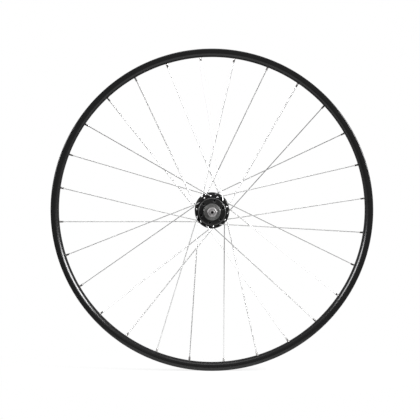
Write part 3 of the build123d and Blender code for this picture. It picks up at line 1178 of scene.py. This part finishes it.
@dataclass(frozen=True)
class AxleSet(SubAssembly):
    """The hollow axle with its threaded ends, the hexagon locknuts, end spacers, cap and seal."""

    steps: int = 96
    half_length: float = 73.0 - BOX_ROOM
    face_y: float = 67.5
    axle_r: float = 5.0
    bore_r: float = 2.65
    thread_r: float = 4.8
    thread_depth: float = 0.55
    thread_sink: float = 0.1
    pitch: float = 1.0
    foot_share: float = 0.45
    crest_share: float = 0.06
    plain_share: float = 0.6
    turn_steps: int = 48
    bore_round: float = 0.35
    end_round: float = 0.3
    stack_bore_r: float = 5.02
    nut_across: float = 17.0
    nut_t: float = 5.5
    nut_sides: int = 6
    nut_corner_r: float = 9.3
    nut_chamfer: float = 0.9
    nut_edge: float = 0.25
    nut_edge_steps: int = 2
    nut_flat_end: float = 12.0
    upright_share: float = 0.99
    spacer_r: float = 6.8
    spacer_round: float = 0.3
    left_spacer_end_y: float = -54.0
    right_spacer_y: float = 57.0
    cap_r: float = 16.5
    cap_bore_r: float = 8.0
    cap_y: float = -56.8
    cap_t: float = 2.4
    cap_rim_w: float = 4.0
    cap_recess: float = 0.9
    cap_bore_round: float = 0.25
    cap_dish_round: float = 0.4
    cap_lip_round: float = 0.3
    cap_round: float = 0.8
    seal_bore_r: float = 7.0
    seal_r: float = 14.68
    seal_t: float = 1.6
    seal_round: float = 0.4

    @property
    def root_r(self) -> float:
        """Radius at the foot of the thread."""
        return self.thread_r - self.thread_depth

    def thread(self, start: float) -> BMesh:
        """One end's thread ridge.

        Args:
            start: where it begins. It winds towards +Y.

        Returns:
            The closed ridge, its foot sunk in the axle.
        """
        ridge = bmesh.new()
        foot, crest = self.root_r - self.thread_sink, self.thread_r
        profile = (
            (foot, -self.foot_share),
            (crest, -self.crest_share),
            (crest, self.crest_share),
            (foot, self.foot_share),
        )
        points = [ridge.verts.new((r, start + share * self.pitch, 0.0)) for r, share in profile]
        for first, second in zip(points, points[1:] + points[:1]):
            ridge.edges.new((first, second))
        turns = (self.half_length - self.face_y) / self.pitch - 2 * self.plain_share
        steps = round(turns * self.turn_steps)
        bmesh.ops.spin(
            ridge, geom=ridge.verts[:] + ridge.edges[:], cent=(0, 0, 0), axis=AXLE,
            dvec=AXLE * self.pitch / self.turn_steps, angle=steps * FULL_TURN / self.turn_steps,
            steps=steps, use_merge=False, use_duplicate=False,
        )
        fill_open_ends(ridge)
        return close_up(ridge)

    def axle(self) -> BMesh:
        """The hollow axle with both its threads.

        Returns:
            The axle.
        """
        end = [
            Corner(self.bore_r, self.half_length, self.bore_round),
            Corner(self.root_r, self.half_length, self.end_round),
            Corner(self.root_r, self.face_y),
            Corner(self.axle_r, self.face_y),
        ]
        outline = end + [corner.mirrored() for corner in reversed(end)]
        plain = self.plain_share * self.pitch
        low = self.thread(plain - self.half_length)
        high = self.thread(self.face_y + plain)
        return join(lathe(outline, self.steps), low, high)

    def flat_ends(self, nut: BMesh) -> list[BMEdge]:
        """The upright edges where a nut's flats meet its turned corners.

        Args:
            nut: the nut with its flats cut.

        Returns:
            The edges.
        """
        ends = []
        for edge in nut.edges:
            start, end = (vert.co for vert in edge.verts)
            upright = abs((end - start).normalized().dot(AXLE)) > self.upright_share
            outside = hypot(start.x, start.z) > self.nut_across / 2
            if upright and outside and edge.calc_face_angle(0.0) > radians(self.nut_flat_end):
                ends.append(edge)
        return ends

    def nut(self, inner_y: float, outer_y: float) -> BMesh:
        """A hexagon nut with its corners turned round and a chamfer round the outer face.

        Args:
            inner_y: the face towards the hub.
            outer_y: the face towards the frame.

        Returns:
            The nut.
        """
        drop = self.nut_chamfer / 2
        shoulder = outer_y + copysign(drop, inner_y - outer_y)
        outline = [
            Corner(self.stack_bore_r, inner_y),
            Corner(self.nut_corner_r, inner_y),
            Corner(self.nut_corner_r, shoulder),
            Corner(self.stack_bore_r, shoulder),
        ]
        nut = lathe(outline, self.steps)
        half_side = 180 / self.nut_sides
        for angle in around(self.nut_sides):
            facing = polar(1.0, angle + half_side)
            bmesh.ops.bisect_plane(
                nut, geom=nut.verts[:] + nut.edges[:] + nut.faces[:], dist=MERGE_GAP,
                plane_co=facing * self.nut_across / 2, plane_no=facing, clear_outer=True,
            )
            fill_open_ends(nut)
        ease(nut, self.flat_ends(nut), self.nut_edge, self.nut_edge_steps)
        front = [
            face for face in nut.faces
            if all(abs(vert.co.y - shoulder) < MERGE_GAP for vert in face.verts)
        ]
        bmesh.ops.inset_region(
            nut, faces=front, thickness=self.nut_chamfer, depth=drop, use_even_offset=True
        )
        return close_up(nut)

    def cap(self) -> BMesh:
        """The dished cap that closes the disc end of the hub.

        Returns:
            The cap.
        """
        floor = self.cap_y + self.cap_recess
        inner_rim = self.cap_r - self.cap_rim_w
        back = self.cap_y + self.cap_t
        outline = [
            Corner(self.cap_bore_r, floor, self.cap_bore_round),
            Corner(inner_rim, floor, self.cap_dish_round),
            Corner(inner_rim, self.cap_y, self.cap_lip_round),
            Corner(self.cap_r, self.cap_y, self.cap_round),
            Corner(self.cap_r, back),
            Corner(self.cap_bore_r, back),
        ]
        return lathe(outline, self.steps)

    def build(self) -> Iterator[Made]:
        """Build the axle and what sits on its ends.

        Returns:
            The pieces, one after another.
        """
        nut_y = self.face_y - self.nut_t
        bore, spacer, edge = self.stack_bore_r, self.spacer_r, self.spacer_round
        left_spacer = ring(bore, spacer, -nut_y, self.left_spacer_end_y, edge)
        right_spacer = ring(bore, spacer, self.right_spacer_y, nut_y, edge)
        seal_end = self.right_spacer_y + self.seal_t
        seal = ring(self.seal_bore_r, self.seal_r, self.right_spacer_y, seal_end, self.seal_round)
        yield Made("axle_tube", self.axle(), "axle")
        yield Made("left_hexagon_nut", self.nut(-nut_y, -self.face_y), "left_locknut")
        yield Made("right_hexagon_nut", self.nut(nut_y, self.face_y), "right_locknut")
        yield Made("left_end_spacer", lathe(left_spacer, self.steps), "left_spacer")
        yield Made("right_end_spacer", lathe(right_spacer, self.steps), "right_spacer")
        yield Made("grey_end_cap", self.cap(), "left_dust_cap")
        yield Made("drive_end_seal", lathe(seal, self.steps), "right_dust_seal")


@dataclass(frozen=True)
class Freehub(SubAssembly):
    """The freehub body: pawl nose, lip and splined barrel."""

    steps: int = 144
    pivot_steps: int = 24
    nose_y: float = 17.9
    nose_end_y: float = 25.5
    lip_y: float = 25.9
    spline_y: float = 27.7
    seal_y: float = 57.0
    end_y: float = 63.0
    nose_r: float = 13.9
    nose_bore_r: float = 7.4
    lip_r: float = 20.0
    spline_r: float = 17.3
    valley_r: float = 16.0
    bearing_r: float = 13.02
    lock_r: float = 14.7
    groove_count: int = 9
    groove_w: float = 5.6
    groove_edge: float = 0.5
    groove_edge_steps: int = 3
    fine_edge: float = 0.15
    bore_edge: float = 0.2
    edge: float = 0.3
    lock_edge: float = 0.4
    spline_edge: float = 0.5
    pawl_count: int = 3
    pawl_pivot_r: float = 12.6
    pawl_lag: float = 36.0
    pawl_boss_r: float = 1.65
    pawl_tip_r: float = 16.0
    pawl_tip_lag: float = 4.5
    pawl_fold: float = 12.0
    pocket_room: float = 0.4
    pocket_floor: float = 2.45

    def outline(self) -> list[Corner]:
        """The turned outline.

        Returns:
            The outside's corners from the nose, then the bores' back again.
        """
        return [
            Corner(self.nose_bore_r, self.nose_y, self.bore_edge),
            Corner(self.nose_r, self.nose_y, self.edge),
            Corner(self.nose_r, self.lip_y, self.fine_edge),
            Corner(self.lip_r, self.lip_y, self.edge),
            Corner(self.lip_r, self.spline_y, self.edge),
            Corner(self.spline_r, self.spline_y),
            Corner(self.spline_r, self.end_y, self.spline_edge),
            Corner(self.lock_r, self.end_y, self.lock_edge),
            Corner(self.lock_r, self.seal_y),
            Corner(self.bearing_r, self.seal_y),
            Corner(self.bearing_r, self.spline_y),
            Corner(self.nose_bore_r, self.spline_y),
        ]

    def grooves(self) -> BMesh:
        """Cutters for the spline grooves, rounded along their floor.

        Returns:
            All the cutters.
        """
        length = self.end_y - self.spline_y + 2 * OVERRUN
        depth = 2 * (self.spline_r - self.valley_r)
        cutter = block(depth, length, self.groove_w)
        floor = [edge for edge in cutter.edges if all(vert.co.x < 0 for vert in edge.verts)]
        floor = [edge for edge in floor if abs(edge.verts[0].co.y - edge.verts[1].co.y) > depth]
        ease(cutter, floor, self.groove_edge, self.groove_edge_steps)
        start = AXLE * (self.spline_y + length / 2) + polar(self.spline_r, 0)
        bmesh.ops.translate(cutter, verts=cutter.verts, vec=start)
        return stamp(cutter, [turned_by(angle) for angle in around(self.groove_count)])

    def pockets(self) -> BMesh:
        """Cutters for the three pawl pockets, each laid along its folded pawl.

        Returns:
            All the cutters.
        """
        pivot = polar(self.pawl_pivot_r, -self.pawl_lag)
        arm = polar(self.pawl_tip_r, -self.pawl_tip_lag) - pivot
        length = arm.length + self.pocket_room
        start = self.nose_y - OVERRUN
        height = self.nose_r + self.pocket_floor
        cutter = block(length, self.nose_end_y - start, height)
        middle = (length / 2, (self.nose_end_y + start) / 2, self.pocket_floor - height / 2)
        bmesh.ops.translate(cutter, verts=cutter.verts, vec=middle)
        along = degrees(atan2(arm.z, arm.x)) + self.pawl_fold
        first = Matrix.Translation(pivot) @ turned_by(along)
        return stamp(cutter, [turned_by(angle) @ first for angle in around(self.pawl_count)])

    def pivots(self) -> BMesh:
        """Cutters for the round seats that the pawls pivot in.

        Returns:
            All the cutters.
        """
        cutter = bit(self.pawl_boss_r, self.nose_y - OVERRUN, self.nose_end_y, self.pivot_steps)
        angles = [angle - self.pawl_lag for angle in around(self.pawl_count)]
        seats = [Matrix.Translation(polar(self.pawl_pivot_r, angle)) for angle in angles]
        return stamp(cutter, seats)

    def build(self) -> Iterator[Made]:
        """Turn the body and cut its grooves and pawl pockets."""
        body = carve(lathe(self.outline(), self.steps), join(self.grooves(), self.pockets()))
        yield Made("freehub_splined_body", carve(body, self.pivots()), "freehub_body")


class CarriedOver:
    """The inner pieces that keep their CAD shape and get their finish."""

    def dress(self) -> Iterator[bpy.types.Object]:
        """Give each shown CAD node the material of its slot.

        Returns:
            The nodes' objects, one after another.
        """
        for name, node in sorted(frame["nodes"].items()):
            if not node.hide_render:
                for slot in node.material_slots:
                    slot.material = FINISHES[slot_of[name]].material()
                yield node


# Studio

@dataclass(frozen=True)
class Softbox:
    """One area lamp.

    Attributes:
        name: the lamp's name.
        place: where it hangs.
        width: its size across.
        height: its size up.
        power: watts.
    """

    name: str
    place: tuple[float, float, float]
    width: float
    height: float
    power: float

    def hang(self) -> None:
        """Hang the lamp and turn it to the wheel."""
        lamp = bpy.data.lights.new(self.name, "AREA")
        lamp.shape = "RECTANGLE"
        lamp.size = self.width * MM
        lamp.size_y = self.height * MM
        lamp.energy = self.power
        holder = put(self.name, lamp)
        holder.location = Vector(self.place) * MM
        holder.rotation_euler = (-holder.location).to_track_quat("-Z", "Y").to_euler()
        holder.visible_camera = False


@dataclass(frozen=True)
class Curtain:
    """A dark curtain that shows in reflections alone.

    Attributes:
        full: how far along the axle a ray points, from -1 to 1, where the curtain is whole.
        edge: how far it points where the curtain ends.
        tone: brightness of the curtain beside the white around it.
    """

    full: float
    edge: float
    tone: float

    def hang(self, graph: Graph, forward: Socket) -> Socket:
        """Fade the white into the curtain.

        Args:
            graph: the nodes of the surroundings.
            forward: how far along the axle a ray points.

        Returns:
            The brightness that the ray meets.
        """
        limits = {
            "Value": forward,
            "From Min": self.full,
            "From Max": self.edge,
            "To Min": self.tone,
        }
        return graph.add("MapRange", limits, interpolation_type="SMOOTHSTEP").outputs[0]


@dataclass(frozen=True)
class Studio:
    """Camera, lamps, white surroundings and pale floor."""

    azimuth: float = -0.42
    elevation: float = 3.8
    distance: float = 7000.0
    lens: float = 304.7
    aim: tuple[float, float, float] = (-3.73, 0.0, 0.0)
    floor_r: float = 560.0
    floor_steps: int = 64
    floor_tone: float = 0.2
    floor_glow: float = 0.8
    floor_near: float = 250.0
    ambient: float = 0.3
    curtains: tuple[Curtain, ...] = (Curtain(-0.7, 0.1, 0.04), Curtain(0.9, 0.3, 0.25))
    softboxes: tuple[Softbox, ...] = (
        Softbox("softbox_left", (-1750.0, -1100.0, 570.0), 600.0, 800.0, 33.0),
        Softbox("softbox_right", (1680.0, -1100.0, 690.0), 700.0, 800.0, 66.0),
        Softbox("softbox_top", (0.0, -300.0, 2400.0), 1600.0, 1600.0, 15.0),
    )

    def camera(self) -> None:
        """Stand the camera where the photograph was taken from."""
        turn, tilt = radians(self.azimuth), radians(self.elevation)
        back = Vector((sin(turn) * cos(tilt), -cos(turn) * cos(tilt), sin(tilt)))
        lens = bpy.data.cameras.new("camera")
        lens.lens = self.lens
        camera = put("camera", lens)
        camera.location = (Vector(self.aim) + back * self.distance) * MM
        camera.rotation_euler = (-back).to_track_quat("-Z", "Y").to_euler()
        bpy.context.scene.camera = camera

    def seen(self, graph: Graph) -> Socket:
        """Tell the rays that show a surface from those that light it.

        Args:
            graph: the nodes of a material or of the surroundings.

        Returns:
            One for rays from the camera, a reflection or a refraction, and otherwise zero.
        """
        path = graph.add("LightPath").outputs
        mirrored = graph.math("MAXIMUM", path["Is Glossy Ray"], path["Is Transmission Ray"])
        return graph.math("MAXIMUM", path["Is Camera Ray"], mirrored)

    def world(self) -> None:
        """White surroundings, with dark curtains before and behind the wheel for reflections alone."""
        world = bpy.data.worlds.new("surroundings")
        world.use_nodes = True
        bpy.context.scene.world = world
        graph = Graph(world.node_tree)
        seen = self.seen(graph)
        glossy = graph.add("LightPath").outputs["Is Glossy Ray"]
        way = graph.add("TexCoord").outputs["Generated"]
        forward = graph.add("SeparateXYZ", {0: way}).outputs["Y"]
        front, rear = (curtain.hang(graph, forward) for curtain in self.curtains)
        hung = graph.math("MULTIPLY", front, rear)
        reflected, backdrop, fill = (
            graph.add("Background", {"Color": grey(1.0), "Strength": strength}).outputs[0]
            for strength in (hung, 1.0, self.ambient)
        )
        shown = graph.add("MixShader", {0: glossy, 1: backdrop, 2: reflected}).outputs[0]
        mixed = graph.add("MixShader", {0: seen, 1: fill, 2: shown}).outputs[0]
        graph.add("OutputWorld", {"Surface": mixed})

    def floor(self) -> None:
        """A pale floor under the rim that takes its shadow."""
        shape = bmesh.new()
        bmesh.ops.create_circle(
            shape, cap_ends=True, segments=self.floor_steps, radius=self.floor_r * MM
        )
        bmesh.ops.translate(shape, verts=shape.verts, vec=(0, 0, cad_box[0].z))
        paint = bpy.data.materials.new("floor_paint")
        paint.use_nodes = True
        graph = Graph(paint.node_tree)
        matt = graph.add("BsdfDiffuse", {"Color": grey(self.floor_tone)}).outputs[0]
        seen = self.seen(graph)
        lift = graph.math("MULTIPLY", seen, self.floor_glow)
        glow = graph.add("Emission", {"Strength": lift}).outputs[0]
        lit = graph.add("AddShader", {0: matt, 1: glow}).outputs[0]
        white = graph.add("Emission", {"Strength": seen}).outputs[0]
        place = graph.add("TexCoord").outputs["Object"]
        limits = {
            "Value": graph.add("VectorMath", {0: place}, operation="LENGTH").outputs["Value"],
            "From Min": self.floor_near * MM,
            "From Max": self.floor_r * MM,
        }
        fade = graph.add("MapRange", limits, interpolation_type="SMOOTHSTEP").outputs[0]
        surface = graph.add("MixShader", {0: fade, 1: lit, 2: white}).outputs[0]
        graph.add("OutputMaterial", {"Surface": surface})
        floor = put("floor", plain_mesh(shape, "floor"))
        floor.data.materials.append(paint)
        floor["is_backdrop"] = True

    def build(self) -> None:
        """Set up the whole studio."""
        bpy.context.scene.view_settings.view_transform = "Standard"
        self.camera()
        self.world()
        self.floor()
        for softbox in self.softboxes:
            softbox.hang()


def inside_radius(node: str) -> float:
    """The largest radius about the axle that stays inside a CAD node's box."""
    low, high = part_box(node)
    return min(-low.x, high.x, -low.z, high.z) / MM - BOX_ROOM


def main() -> None:
    """Build the wheel's sub-assemblies and the studio, and report each piece."""
    logging.basicConfig(level=logging.INFO, format="%(name)s: %(message)s")
    lacing = Lacing()
    assemblies = (
        Rim(lacing, inside_radius("rim")),
        Spokes(lacing),
        Nipples(lacing),
        HubShell(lacing),
        AxleSet(),
        Freehub(),
        CarriedOver(),
    )
    Studio().build()
    for assembly in assemblies:
        for piece in assembly.dress():
            log.info("%s: %s, %d faces", type(assembly).__name__, piece.name, len(piece.data.polygons))
    boxes = {"cad": cad_box, "visual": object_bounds()}
    plain = {name: [list(corner) for corner in box] for name, box in boxes.items()}


if __name__ == "__main__":
    main()
